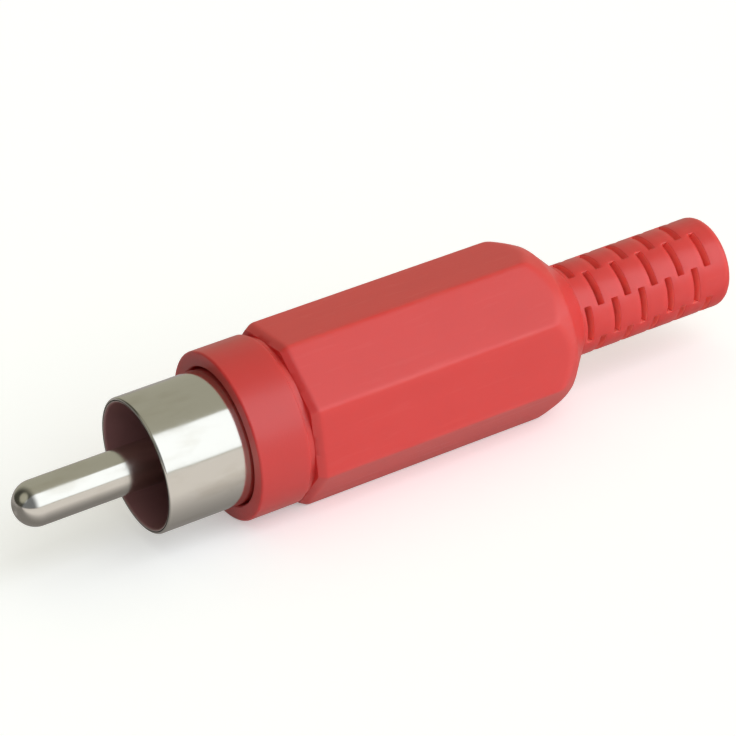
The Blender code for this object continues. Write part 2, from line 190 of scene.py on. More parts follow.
def redFinish(look):
    material, finish, sockets = newFinish("redMoulding", {
        "IOR": plasticIor,
        "Coat Weight": look["coat"],
        "Coat Roughness": look["coatRoughness"],
        "Subsurface Weight": look["glowWeight"],
        "Subsurface Scale": look["glowDepth"],
        "Subsurface Radius": look["glowReach"],
    })
    cloud = finish.noise(finish.place(), look["cloudScale"], detail=3.0)
    flow = finish.noise(finish.place(look["flowScale"]))
    grain = finish.noise(finish.place(), look["grainScale"])
    scratches = finish.noise(finish.place(look["scratchScale"]), detail=4.0)
    scratches = scratches.step(*look["scratchLevels"])
    rubbed = (finish.mask("edgeWear") * cloud.step(*look["wearLevels"])) * look["wearShare"]
    tone = finish.blend(cloud * look["cloudShare"] + flow * look["flowShare"], look["body"], look["deep"])
    tone = finish.blend(rubbed + scratches * look["scratchShare"], tone, look["rubbed"])
    # Painted shade: the collar and lead-in are taken to a deeper red.
    tone = finish.blend(finish.mask("paintedFrontShade") * look["paintedFrontShadeShare"], tone, look["paintedFrontShade"])
    # Painted light: the slots' walls and the bore are lightened.
    tone = finish.blend(finish.mask("paintedSlotLight"), tone, look["paintedThroughLight"])
    finish.put(sockets["Base Color"], tone)
    roughness = look["roughness"] + (grain - noiseMiddle) * look["grainRoughness"]
    roughness = roughness + rubbed * look["wearRoughness"] - scratches * look["scratchPolish"]
    finish.put(sockets["Roughness"], roughness)
    finish.put(sockets["Normal"], finish.bump(grain + cloud * look["cloudHeight"], look["grainDepth"]))
    return material


nickelPlate = {
    "clean": (0.66, 0.645, 0.605, 1.0),
    "dull": (0.56, 0.53, 0.465, 1.0),
    # painted shade: a dull reddish brown for the mouth's shaded inner wall
    "inside": (0.32, 0.145, 0.145, 1.0),
    "insideRoughness": 0.5,
    "roughness": 0.13,
    "smearShare": 0.5,
    "smearRoughness": 0.10,
    "smearScale": (260.0, 700.0, 700.0),
    "smearLevels": (0.45, 0.75),
    "lineScale": (5200.0, 60.0, 60.0),      # drawing lines, close along the axis
    "lineRoughness": 0.06,
    "lineDepth": 0.0006 * mm,
    "waveScale": 330.0,
    "waveDepth": 0.02 * mm,
}


def nickelFinish(look):
    material, finish, sockets = newFinish("nickelPlate", {})
    lines = finish.noise(finish.place(look["lineScale"]), detail=3.0)
    waves = finish.noise(finish.place(), look["waveScale"], detail=1.0)
    smears = finish.noise(finish.place(look["smearScale"]), detail=4.0).step(*look["smearLevels"])
    # Painted shade: inside the mouth the plate gives way to a dull reddish brown.
    inside = finish.mask("inside")
    plate = finish.blend(smears * look["smearShare"], look["clean"], look["dull"])
    finish.put(sockets["Base Color"], finish.blend(inside, plate, look["inside"]))
    finish.put(sockets["Metallic"], 1.0 - inside)
    roughness = look["roughness"] + smears * look["smearRoughness"]
    roughness = roughness + (lines - noiseMiddle) * look["lineRoughness"]
    finish.put(sockets["Roughness"], roughness + inside * (look["insideRoughness"] - look["roughness"]))
    ripple = finish.bump((waves - noiseMiddle) * (1.0 - inside), look["waveDepth"])
    fine = finish.bump(lines, look["lineDepth"])
    finish.put(fine.socket.node.inputs["Normal"], ripple)
    finish.put(sockets["Normal"], fine)
    return material


blackMoulding = {
    "body": (0.024, 0.012, 0.011, 1.0),
    "grey": (0.050, 0.026, 0.023, 1.0),
    "roughness": 0.5,
    "cloudScale": 420.0,
    "cloudLevels": (0.4, 0.7),
    "cloudRoughness": 0.2,
    "grainScale": 7000.0,
    "grainDepth": 0.008 * mm,
}


def blackFinish(look):
    material, finish, sockets = newFinish("blackMoulding", {"IOR": plasticIor})
    cloud = finish.noise(finish.place(), look["cloudScale"], detail=3.0)
    grain = finish.noise(finish.place(), look["grainScale"])
    grey = cloud.step(*look["cloudLevels"])
    finish.put(sockets["Base Color"], finish.blend(grey, look["body"], look["grey"]))
    finish.put(sockets["Roughness"], look["roughness"] + (cloud - noiseMiddle) * look["cloudRoughness"])
    finish.put(sockets["Normal"], finish.bump(grain, look["grainDepth"]))
    return material


brownBoard = {
    "resin": (0.17, 0.070, 0.028, 1.0),
    "fibre": (0.33, 0.17, 0.075, 1.0),
    "roughness": 0.5,
    "fibreRoughness": 0.2,
    "fibreScales": ((900.0, 500.0, 5200.0), (900.0, 5200.0, 500.0)),     # across and along
    "fibreLevels": (0.52, 0.66),
    "fibreDepth": 0.01 * mm,
}


def brownFinish(look):
    material, finish, sockets = newFinish("brownBoard", {"IOR": plasticIor})
    across, along = [finish.noise(finish.place(scale), detail=3.0).step(*look["fibreLevels"])
                     for scale in look["fibreScales"]]
    fibres = (across + along) * 0.5
    finish.put(sockets["Base Color"], finish.blend(fibres, look["resin"], look["fibre"]))
    finish.put(sockets["Roughness"], look["roughness"] + fibres * look["fibreRoughness"])
    finish.put(sockets["Normal"], finish.bump(fibres, look["fibreDepth"]))
    return material


tinSteel = {"clean": (0.56, 0.56, 0.55, 1.0), "dull": (0.40, 0.39, 0.37, 1.0), "roughness": 0.30}
tinBrass = {"clean": (0.63, 0.61, 0.55, 1.0), "dull": (0.50, 0.44, 0.33, 1.0), "roughness": 0.26}
tinGrain = {
    "spangleScale": 1300.0,
    "spangleLevels": (0.35, 0.7),
    "spangleRoughness": 0.25,
    "spangleHeight": 0.6,
    "rolledScale": (240.0, 3400.0, 3400.0),
    "depth": 0.004 * mm,
}


def tinFinish(name, look, grain):
    material, finish, sockets = newFinish(name, {"Metallic": 1.0})
    spangle = finish.noise(finish.place(), grain["spangleScale"], detail=3.0)
    rolled = finish.noise(finish.place(grain["rolledScale"]))
    dull = spangle.step(*grain["spangleLevels"])
    finish.put(sockets["Base Color"], finish.blend(dull, look["clean"], look["dull"]))
    roughness = look["roughness"] + (spangle - noiseMiddle) * grain["spangleRoughness"]
    finish.put(sockets["Roughness"], roughness)
    finish.put(sockets["Normal"], finish.bump(rolled + spangle * grain["spangleHeight"], grain["depth"]))
    return material


# Outlines and turned pieces

def smooth(share):
    share = min(1.0, max(0.0, share))
    return share * share * (3.0 - 2.0 * share)


def softLine(corners, closed=False, guard=0.05, guardShare=0.3, turnPerStep=14.0):
    # Corners are (station, radius, round). A guard point on each side keeps the flats flat.
    line = []
    last = len(corners) - 1
    for i, (station, radius, rounding) in enumerate(corners):
        here = Vector((station, radius))
        if rounding == 0 or (not closed and i in (0, last)):
            line.append(here)
            continue
        before = Vector(corners[i - 1][:2]) - here
        after = Vector(corners[(i + 1) % len(corners)][:2]) - here
        back = before.normalized()
        onward = after.normalized()
        half = before.angle(after) / 2
        reach = rounding / math.tan(half)
        centre = here + (back + onward).normalized() * rounding / math.sin(half)
        start = here + back * reach - centre
        end = here + onward * reach - centre
        steps = max(2, math.ceil(math.degrees(math.pi - 2 * half) / turnPerStep))
        line.append(here + back * (reach + min(guard, (before.length - reach) * guardShare)))
        for step in range(steps + 1):
            line.append(centre + start.lerp(end, step / steps).normalized() * rounding)
        line.append(here + onward * (reach + min(guard, (after.length - reach) * guardShare)))
    return line


def arcLine(centre, radius, start, end, steps):
    # Angles in degrees, from the outward direction towards the cable end.
    line = []
    for step in range(steps + 1):
        angle = math.radians(start + (end - start) * step / steps)
        station = centre[0] + radius * math.sin(angle)
        line.append(Vector((station, centre[1] + radius * math.cos(angle))))
    return line


def spinLine(bm, line, steps, closed):
    # The line is drawn above the plug's axis, here X, and spun once round it.
    rows = bm.verts.layers.int.get("row") or bm.verts.layers.int.new("row")
    verts = []
    for number, (station, radius) in enumerate(line):
        vert = bm.verts.new((station * mm, 0.0, radius * mm))
        vert[rows] = number
        verts.append(vert)
    edges = [bm.edges.new(pair) for pair in zip(verts, verts[1:])]
    if closed:
        edges.append(bm.edges.new((verts[-1], verts[0])))
    bmesh.ops.spin(bm, geom=verts + edges, cent=(0, 0, 0), axis=(1, 0, 0), dvec=(0, 0, 0),
                   angle=2 * math.pi, steps=steps, use_merge=True, use_duplicate=False)
    bmesh.ops.remove_doubles(bm, verts=bm.verts, dist=mergeWithin)
    bmesh.ops.recalc_face_normals(bm, faces=bm.faces)


def spinThread(bm, thread, root, crest):
    # One closed ridge that runs out at both ends. It is made by itself, which is quicker.
    half = thread["rootWidth"] / 2
    top = thread["crestWidth"] / 2
    corners = [(-half, root), (-top, crest), (top, crest), (half, root)]
    length = thread["end"] - thread["start"]
    turns = length / thread["pitch"]
    steps = int(turns * thread["stepsPerTurn"])
    ridge = bmesh.new()
    verts = [ridge.verts.new(((thread["start"] + s) * mm, 0.0, r * mm)) for s, r in corners]
    edges = [ridge.edges.new((verts[i], verts[(i + 1) % 4])) for i in range(4)]
    bmesh.ops.spin(ridge, geom=verts + edges, cent=(0, 0, 0), axis=(1, 0, 0),
                   dvec=(length / steps * mm, 0, 0), angle=2 * math.pi * turns, steps=steps,
                   use_merge=False, use_duplicate=False)
    for vert in ridge.verts:
        along = (vert.co.x / mm - thread["start"]) / length
        stand = min(1.0, max(thread["leastHeight"], min(along, 1.0 - along) / thread["runOut"]))
        radius = math.hypot(vert.co.y, vert.co.z) / mm
        wanted = root + (radius - root) * stand
        vert.co.y *= wanted / radius
        vert.co.z *= wanted / radius
    bmesh.ops.holes_fill(ridge, edges=[e for e in ridge.edges if e.is_boundary], sides=4)
    bmesh.ops.recalc_face_normals(ridge, faces=ridge.faces)
    mesh = bpy.data.meshes.new("threadRidge")
    ridge.to_mesh(mesh)
    ridge.free()
    bm.from_mesh(mesh)
    bpy.data.meshes.remove(mesh)


def finishPiece(name, bm, material, body, node, sheet=None):
    bmesh.ops.translate(bm, verts=bm.verts, vec=(rimX, 0.0, axisZ))
    mesh = bpy.data.meshes.new(name)
    bm.to_mesh(mesh)
    bm.free()
    mesh.materials.append(material)
    mesh.shade_smooth()
    mesh.set_sharp_from_angle(angle=sharpAngle)
    piece = bpy.data.objects.new(name, mesh)
    bpy.context.scene.collection.objects.link(piece)
    if sheet:
        wall = piece.modifiers.new("wall", "SOLIDIFY")
        wall.thickness = sheet["thickness"] * mm
        wall.offset = 0.0
        wall.use_even_offset = True
        edges = piece.modifiers.new("edges", "BEVEL")
        edges.width = sheet["edgeRound"] * mm
        edges.segments = 2
        edges.limit_method = "ANGLE"
        edges.angle_limit = sharpAngle
    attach(piece, body)
    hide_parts(node)
    print(name, len(mesh.polygons), "faces")


# Centre pin

pinSize = {
    "radius": 1.6,
    "wall": 0.4,
    "noseFlat": 0.42,           # radius of the blunt tip
    "noseSteps": 16,
    "noseLead": 0.05,           # straight tube drawn up to the nose's curve
    "dimple": ((0.008, 0.9), (0.04, 0.72), (0.12, 0.35), (0.12, 0.0)),     # depth, share of noseFlat
    "boreSteps": 8,
    "beadLength": 0.6,
    "beadHeight": 0.7,
    "flareLength": 0.35,
    "flareHeight": 0.7,
    "steps": 96,
}


def makePin(size, material):
    tip = stationOf(pinBox[0].x)
    tail = stationOf(pinBox[1].x)
    radius = size["radius"]
    bore = radius - size["wall"]
    blunt = math.degrees(math.asin(size["noseFlat"] / radius))
    noseCentre = tip + radius * math.cos(math.radians(blunt))
    beadBack = stationOf(bushBox[0].x) - pieceGap
    beadFront = beadBack - size["beadLength"]
    bead = radius + size["beadHeight"]
    flareFront = tail - size["flareLength"]
    flare = radius + size["flareHeight"]
    inner = arcLine((tip + radius, 0.0), bore, -90.0, 0.0, size["boreSteps"])
    inner[0].y = 0.0
    behind = softLine([inner[-1][:] + (0,),
                       (tail, bore, 0.08), (tail, flare, 0.1),
                       (flareFront, flare, 0.1), (flareFront, radius, 0.05),
                       (beadBack, radius, 0.03), (beadBack, bead, 0.26),
                       (beadFront, bead, 0.26), (beadFront, radius, 0.12),
                       (noseCentre + size["noseLead"], radius, 0)])
    nose = arcLine((noseCentre, 0.0), radius, 0.0, blunt - 90.0, size["noseSteps"])
    crimp = [Vector((tip + depth, size["noseFlat"] * share)) for depth, share in size["dimple"]]
    bm = bmesh.new()
    spinLine(bm, inner[:-1] + behind + nose + crimp, size["steps"], False)
    finishPiece("pinBody", bm, material, "insert", "centre_pin")


# Shell and threaded neck

shellSize = {
    "wall": 0.38,
    "ledge": 0.8,               # from the bush's face to the step's inner side
    "neckStep": 0.52,
    "holeRadius": 2.65,
    "lipShare": 0.46,           # round of the rim's edges, as a share of the wall
    "dullOver": 0.7,            # share of that round on which the bright plate ends
    "dullPast": 0.01,           # how far behind the step's face the painted shade inside still goes
    "steps": 160,
}
threadForm = {
    "pitch": 0.8,
    "crestWidth": 0.12,
    "sunk": 0.03,               # how deep the ridge's foot lies in its piece
    "runOut": 0.06,             # share of the thread's length
    "leastHeight": 0.02,        # share of the height left at the ends, so that they have an area
    "stepsPerTurn": 72,
}
neckThread = {
    **threadForm,
    "plain": 0.7,               # neck before the first turn
    "plainEnd": 0.5,            # and behind the last one
    "rootWidth": 0.56,
    "height": 0.22,
}


def threadStart():
    return stationOf(bushBox[0].x) + shellSize["ledge"] + shellSize["wall"] + neckThread["plain"]


def makeShell(size, thread, material):
    outer = widthOf(shellBox) / 2
    bore = outer - size["wall"]
    stepInner = stationOf(bushBox[0].x) + size["ledge"]
    stepOuter = stepInner + size["wall"]
    neck = outer - size["neckStep"]
    neckBore = neck - size["wall"]
    neckEnd = stationOf(shellBox[1].x)
    endWall = neckEnd - size["wall"]
    lip = size["wall"] * size["lipShare"]
    bm = bmesh.new()
    outline = softLine([(0.0, bore, lip), (0.0, outer, lip),
                        (stepOuter, outer, 0.22), (stepOuter, neck, 0.08),
                        (neckEnd, neck, 0.22), (neckEnd, size["holeRadius"], 0.06),
                        (endWall, size["holeRadius"], 0.06), (endWall, neckBore, 0.15),
                        (stepInner, neckBore, 0.1), (stepInner, bore, 0.12)], closed=True)
    spinLine(bm, outline, size["steps"], True)
    # The mouth gets painted shade inside: a dull reddish brown in place of the plate. The change is on
    # the rim's round edge, and the neck stays bright.
    inside = bm.verts.layers.float.new("inside")
    for vert in bm.verts:
        radius = math.hypot(vert.co.y, vert.co.z) / mm
        if vert.co.x / mm < stepInner + size["dullPast"] and radius < bore + lip:
            vert[inside] = smooth((bore + lip - radius) / lip / size["dullOver"])
    thread = dict(thread, start=threadStart(), end=neckEnd - thread["plainEnd"])
    spinThread(bm, thread, neck - thread["sunk"], neck + thread["height"])
    finishPiece("shellCup", bm, material, "insert", "ground_shell")


# Insulators

bushSize = {"flangeLength": 0.5, "boreRadius": 1.9, "spigotRadius": 2.35, "steps": 120}
washerSize = {"boreRadius": 1.9, "steps": 96}


def makeBush(size, material):
    front = stationOf(bushBox[0].x)
    end = stationOf(bushBox[1].x)
    flangeEnd = front + size["flangeLength"]
    flange = widthOf(bushBox) / 2
    body = widthOf(shellBox) / 2 - shellSize["neckStep"] - shellSize["wall"] - pieceGap
    bodyEnd = stationOf(shellBox[1].x) - shellSize["wall"] - pieceGap
    bore = size["boreRadius"]
    spigot = size["spigotRadius"]
    outline = softLine([(end, bore, 0.05), (end, spigot, 0.08),
                        (bodyEnd, spigot, 0.05), (bodyEnd, body, 0.15),
                        (flangeEnd, body, 0.05), (flangeEnd, flange, 0.08),
                        (front, flange, 0.12), (front, bore, 0.08)], closed=True)
    bm = bmesh.new()
    spinLine(bm, outline, size["steps"], True)
    finishPiece("frontBush", bm, material, "insert", "front_insulator")


def makeWasher(size, material):
    front = stationOf(washerBox[0].x)
    back = stationOf(washerBox[1].x)
    outer = widthOf(washerBox) / 2
    bore = size["boreRadius"]
    outline = softLine([(back, bore, 0.06), (back, outer, 0.08),
                        (front, outer, 0.08), (front, bore, 0.06)], closed=True)
    bm = bmesh.new()
    spinLine(bm, outline, size["steps"], True)
    finishPiece("boardWasher", bm, material, "insert", "rear_insulator")


# Hood

hoodSize = {
    "collar": 3.8,
    "groove": 0.5,
    "grooveDepth": 0.32,
    "leadIn": 0.55,
    "leadRound": 0.8,           # soft end of the lead-in, on the grip's flats
    "leadClear": 0.012,         # how far its first row stands from the groove's last one
    "leadRise": 0.02,
    "grip": 19.0,
    "slope": 1.7,
    "drop": 0.38,
    "steep": 2.15,
    "bootRadius": 3.36,
    "cableRadius": 2.3,
    "endRound": 0.75,
    "seatRadius": 4.95,
    "seatEnd": 8.48,
    "threadRadius": 4.6,
    "wideEnd": 14.2,
    "cavityRadius": 4.3,
    "taper": 1.5,
    "taperToBoot": 0.9,
    "cornerSharpness": 120.0,   # higher makes the octagon's corners sharper
    "shoulderBlend": 0.22,
    "mouthChamfer": 0.1,
    "columns": 24,              # per side of the octagon
    "evenStep": 2.0,            # degrees between them, except the two beside a corner
    "gripStep": 1.9,            # mm between rows along the grip
    "shoulderStep": 0.14,       # and where the grip turns into the shoulder
    "closeBefore": 0.7,         # how far the close rows reach to each side of that line
    "closeBehind": 2.1,
    "coneRun": 4.0,             # how far the shoulder's cone is drawn over the grip
    "run": 0.5,                 # plain length drawn up to the next corner
    "shortRun": 0.4,
    "wearFrom": 19.5,           # degrees from the middle of a side, where the rubbed corner starts
    "wearOver": 3.0,
    "collarWear": 0.25,         # mm of rubbed plastic beside the collar's edges
    "leadPaintedShade": 0.6,            # share of the collar's painted shade, its deeper red, on the lead-in
}
slotSize = {
    "rows": 10,
    "perRow": 4,
    "pitch": 1.145,
    "width": 0.5,
    "first": 0.55,
    "halfAngle": 23.5,
    "edgeRound": 0.07,
    "litFrom": 0.9,             # depth at which the painted light inside starts, as a share of that round
    "litPast": 0.1,             # and how far it goes on behind the last row
}
hoodThread = {
    **threadForm,
    "rootWidth": 0.5,
    "height": 0.2,
    "pastNeck": 0.3,            # how far behind the neck's end it goes
}
sides = 8
sideAngle = 360.0 / sides


def heightAt(line, station):
    for (s0, r0), (s1, r1) in zip(line, line[1:]):
        if s0 <= station <= s1:
            return r0 + (r1 - r0) * (station - s0) / (s1 - s0)
    return line[-1][1] if station > line[-1][0] else line[0][1]


def softMin(a, b, width):
    near = max(width - abs(a - b), 0.0) / width
    return min(a, b) - near * near * width / 4


def octagonRadius(angle, flat, sharpness):
    # Angle in degrees from the middle of a side, up to half a side.
    near = math.cos(math.radians(angle)) ** sharpness
    far = math.cos(math.radians(sideAngle - angle)) ** sharpness
    return flat / (near + far) ** (1.0 / sharpness)


def columnAngle(column, size):
    # Even steps over a side, closer beside the corners, where the slots end as well.
    perSide = size["columns"]
    side = round(column / perSide)
    offset = column - side * perSide
    half = perSide // 2
    reach = abs(offset)
    if reach < half - 1:
        angle = size["evenStep"] * reach
    else:
        angle = sideAngle / 2 - (half - reach)
    return sideAngle * side + math.copysign(angle, offset), angle


def slotOffset(angle, row, slots):
    # Degrees from the middle of the nearest slot of that row.
    spacing = 360.0 / slots["perRow"]
    shifted = (angle + spacing / 2 * (row % 2)) % spacing
    return shifted - spacing if shifted > spacing / 2 else shifted


def makeHood(size, slots, thread, material):
    front = stationOf(hoodBox[0].x)
    bootEnd = stationOf(hoodBox[1].x)
    flat = widthOf(hoodBox) / 2
    collarEnd = front + size["collar"]
    gripFront = collarEnd + size["groove"]
    leadEnd = gripFront + size["leadIn"]
    shoulder = leadEnd + size["grip"]
    shoulderBreak = shoulder + size["slope"]
    shoulderEnd = shoulderBreak + size["steep"]
    groove = flat - size["grooveDepth"]
    boot = size["bootRadius"]
    cable = size["cableRadius"]
    corner = flat / math.cos(math.radians(sideAngle / 2))
    slope = (corner - flat + size["drop"]) / size["slope"]

    # Outside, from the front of the collar to the boot's end
    seat = size["seatRadius"]
    chamfer = size["mouthChamfer"]
    collarLine = softLine([(front + chamfer, seat, 0), (front, seat + chamfer, 0.04),
                           (front, flat, 0.16), (collarEnd, flat, 0.12),
                           (collarEnd, groove, 0.05), (gripFront, groove, 0)])
    flatLine = softLine([(gripFront, groove + size["leadRise"], 0), (leadEnd, flat, size["leadRound"]),
                         (shoulderEnd, flat, 0)])
    coneLine = softLine([(shoulder - size["coneRun"], corner + size["coneRun"] * slope, 0),
                         (shoulderBreak, flat - size["drop"], 0.7), (shoulderEnd, boot, 0.12),
                         (shoulderEnd + size["shortRun"], boot, 0)])
    gripStations = [gripFront + size["leadClear"]] + [p[0] for p in flatLine[1:-1]]
    station = gripStations[-1]
    closeFrom = shoulder - size["closeBefore"]
    while station + size["gripStep"] < closeFrom:
        station += size["gripStep"]
        gripStations.append(station)
    station = closeFrom
    while station < shoulder + size["closeBehind"]:
        gripStations.append(station)
        station += size["shoulderStep"]
    gripStations += [p[0] for p in coneLine[1:-1] if p[0] > station]
    slotEdges = []
    for row in range(slots["rows"]):
        middle = shoulderEnd + slots["first"] + row * slots["pitch"]
        slotEdges.append((middle - slots["width"] / 2, middle + slots["width"] / 2))
    outerSlots = [Vector((s, boot)) for pair in slotEdges for s in pair]
    endLine = softLine([(slotEdges[-1][1] + size["run"], boot, 0), (bootEnd, boot, size["endRound"]),
                        (bootEnd, cable, 0.12), (bootEnd - size["shortRun"], cable, 0)])

    # Inside, back to the front
    taperEnd = shoulderEnd - size["taperToBoot"]
    innerSlots = [Vector((s, cable)) for pair in reversed(slotEdges) for s in reversed(pair)]
    boreLine = softLine([(taperEnd + size["run"], cable, 0), (taperEnd, cable, 0.4),
                         (taperEnd - size["taper"], size["cavityRadius"], 0.4),
                         (size["wideEnd"], size["cavityRadius"], 0.05),
                         (size["wideEnd"], size["threadRadius"], 0.05),
                         (size["seatEnd"], size["threadRadius"], 0.1),
                         (size["seatEnd"], seat, 0.06), (front + size["run"], seat, 0)])
    gripRows = [Vector((s, heightAt(flatLine, s))) for s in gripStations]
    line = collarLine + gripRows + outerSlots + endLine + innerSlots + boreLine
    gripFirst = len(collarLine)
    slotFirst = gripFirst + len(gripRows)
    innerFirst = slotFirst + len(outerSlots) + len(endLine)

    bm = bmesh.new()
    columns = sides * size["columns"]
    spinLine(bm, line, columns, True)
    rows = bm.verts.layers.int["row"]
    wear = bm.verts.layers.float.new("edgeWear")
    # The collar and lead-in get painted shade, a deeper red, towards the pin's end.
    collar = bm.verts.layers.float.new("paintedFrontShade")
    # Where the slots get painted light.
    lightInSlotsLayer = bm.verts.layers.float.new("paintedSlotLight")
    for vert in bm.verts:
        row = vert[rows]
        station, radius = line[row]
        column = round(math.degrees(math.atan2(-vert.co.y, vert.co.z)) % 360.0 / (360.0 / columns))
        angle, fromFlat = columnAngle(column, size)
        if gripFirst <= row < slotFirst:
            octagon = octagonRadius(fromFlat, radius, size["cornerSharpness"])
            radius = softMin(octagon, heightAt(coneLine, station), size["shoulderBlend"])
            vert[wear] = max(0.0, (fromFlat - size["wearFrom"]) / size["wearOver"])
            vert[collar] = size["leadPaintedShade"] if station < leadEnd else 0.0
        elif row < gripFirst:
            edge = min(abs(station - front), abs(station - collarEnd))
            vert[wear] = max(0.0, 1.0 - edge / size["collarWear"])
            vert[collar] = 1.0 if station < collarEnd + tiny else 0.0
        slotRow = (row - innerFirst) // 2
        if 0 <= slotRow < slots["rows"]:
            angle += innerShift(angle, slots["rows"] - 1 - slotRow, slots, boot / cable)
        turn = math.radians(angle)
        vert.co = Vector((station * mm, -radius * math.sin(turn) * mm, radius * math.cos(turn) * mm))
    cutSlots(bm, rows, slots, slotFirst, innerFirst)
    # All that lies deeper than the slots' rounded edges gets painted light, a lighter red.
    litEnd = slotEdges[-1][1] + slots["litPast"]
    for vert in bm.verts:
        depth = boot - math.hypot(vert.co.y, vert.co.z) / mm
        if shoulderEnd < vert.co.x / mm < litEnd and depth > slots["edgeRound"] * slots["litFrom"]:
            vert[lightInSlotsLayer] = 1.0
    neckEnd = stationOf(shellBox[1].x)
    # The ridge runs midway between the turns of the neck's thread.
    ridge = dict(thread, start=threadStart() + thread["pitch"] / 2, end=neckEnd + thread["pastNeck"])
    root = size["threadRadius"]
    spinThread(bm, ridge, root + thread["sunk"], root - thread["height"])
    finishPiece("hoodMoulding", bm, material, "hood", "hood")


def innerShift(angle, row, slots, ratio):
    # Keeps a slot's end walls parallel, so the slot is as wide inside as outside.
    offset = slotOffset(angle, row, slots)
    half = slots["halfAngle"]
    rest = 180.0 / slots["perRow"] - half
    wide = math.degrees(math.asin(min(1.0, math.sin(math.radians(half)) * ratio)))
    if abs(offset) <= half + tiny:
        moved = math.degrees(math.asin(math.sin(math.radians(abs(offset))) * ratio))
    else:
        share = (abs(offset) - half) / rest
        moved = wide + (half + rest - wide) * share
    return math.copysign(moved, offset) - offset


def cutSlots(bm, rows, slots, slotFirst, innerFirst):
    # Each slot: its faces go from both surfaces, and walls join the two openings.
    outerOf = {}
    innerOf = {}
    for row in range(slots["rows"]):
        outerOf[slotFirst + 2 * row] = row
        innerOf[innerFirst + 2 * (slots["rows"] - 1 - row)] = row
    gone = []
    holes = {}
    for face in bm.faces:
        numbers = sorted({v[rows] for v in face.verts})
        if len(numbers) != 2 or numbers[1] - numbers[0] != 1:
            continue
        row = outerOf.get(numbers[0], innerOf.get(numbers[0]))
        if row is None:
            continue
        centre = face.calc_center_median()
        angle = math.degrees(math.atan2(-centre.y, centre.z)) % 360.0
        half = slots["halfAngle"]
        if numbers[0] in innerOf:
            half = half + innerShift(half - 180.0 / slots["perRow"] * (row % 2), row, slots,
                                     hoodSize["bootRadius"] / hoodSize["cableRadius"])
        offset = slotOffset(angle, row, slots)
        if abs(offset) < half:
            gone.append(face)
            key = (row, round((angle - offset) % 360.0))
            holes.setdefault(key, set()).update(face.edges)
    bmesh.ops.delete(bm, geom=gone, context="FACES_ONLY")
    loose = [e for e in bm.edges if not e.link_faces]
    bmesh.ops.delete(bm, geom=loose, context="EDGES")
    rims = []
    for edges in holes.values():
        edges = [e for e in edges if e.is_valid and e.is_boundary]
        outer = [e for e in edges if all(v[rows] < innerFirst for v in e.verts)]
        corners = [v for v in {v for e in outer for v in e.verts} if isCorner(v, outer)]
        bmesh.ops.bridge_loops(bm, edges=edges)
        rims += outer
        for vert in corners:
            rims += [e for e in vert.link_edges if e.other_vert(vert)[rows] >= innerFirst]
    bmesh.ops.bevel(bm, geom=rims, offset=slots["edgeRound"] * mm, offset_type="OFFSET", segments=2,
                    profile=0.5, affect="EDGES", clamp_overlap=False, material=-1)
    # The rounding ends on the bore in faces with no area.
    bmesh.ops.remove_doubles(bm, verts=bm.verts, dist=mergeWithin)
    stray = [v for v in bm.verts if not v.link_faces]
    bmesh.ops.delete(bm, geom=stray, context="VERTS")


def isCorner(vert, rim):
    # A slot's corner is where a lengthwise edge meets one that runs round.
    own = [e for e in vert.link_edges if e in rim]
    return any(abs(e.verts[0].co.x - e.verts[1].co.x) > slotSize["width"] / 2 * mm for e in own)


# Tags: each is one sheet, a ring and a strip bent out of it

groundSheet = {
    "thickness": 0.3,
    "edgeRound": 0.05,
    "side": -1,                 # the strip runs under the axis
    "ringInner": 2.65,
    "ringSteps": 96,
    "notch": 0.2,               # mm along the ring's edge, from the strip to the first step
    "columns": 24,
    "halfWidth": 1.3,
    "bend": 0.35,
    "bendSteps": 8,
    "waist": 0.94,
    "waistTaper": 0.28,
    "taperSteps": 12,
    "cradle": 4.6,
    "flank": 0.74,
    "throatShare": 0.3,         # of the cradle's wrap, where the strip opens into it
    "wrap": 106.0,              # degrees to each side
    "endRound": 0.7,
    "cradleSteps": 4,
    "endSteps": 8,
}
centreSheet = {
    "thickness": 0.3,
    "edgeRound": 0.05,
    "side": 1,
    "ringInner": 1.9,
    "ringSteps": 96,
    "notch": 0.2,
    "columns": 16,
    "halfWidth": 0.9,
    "bend": 0.35,
    "bendSteps": 8,
    "stripSteps": 8,
    "sideSteps": 4,             # on each straight side beside the eye
    "endSteps": 20,             # round the strip's end
    "eye": 0.45,
    "eyeRings": (0.5, 1.0),     # shares of the way from the outline to the eye
}


def joinRows(bm, rows):
    for row, after in zip(rows, rows[1:]):
        for j in range(len(row) - 1):
            bm.faces.new((row[j], row[j + 1], after[j + 1], after[j]))


def sheetRow(bm, sheet, station, drop, half, curl=0.0):
    # A row across the strip. Curl is one over the radius of its bend round the axis.
    row = []
    for j in range(sheet["columns"] + 1):
        reach = half * (2 * j / sheet["columns"] - 1)
        across = reach
        lift = 0.0
        if curl > tiny:
            across = math.sin(reach * curl) / curl
            lift = (1.0 - math.cos(reach * curl)) / curl
        row.append(bm.verts.new((station * mm, across * mm, sheet["side"] * (drop - lift) * mm)))
    return row


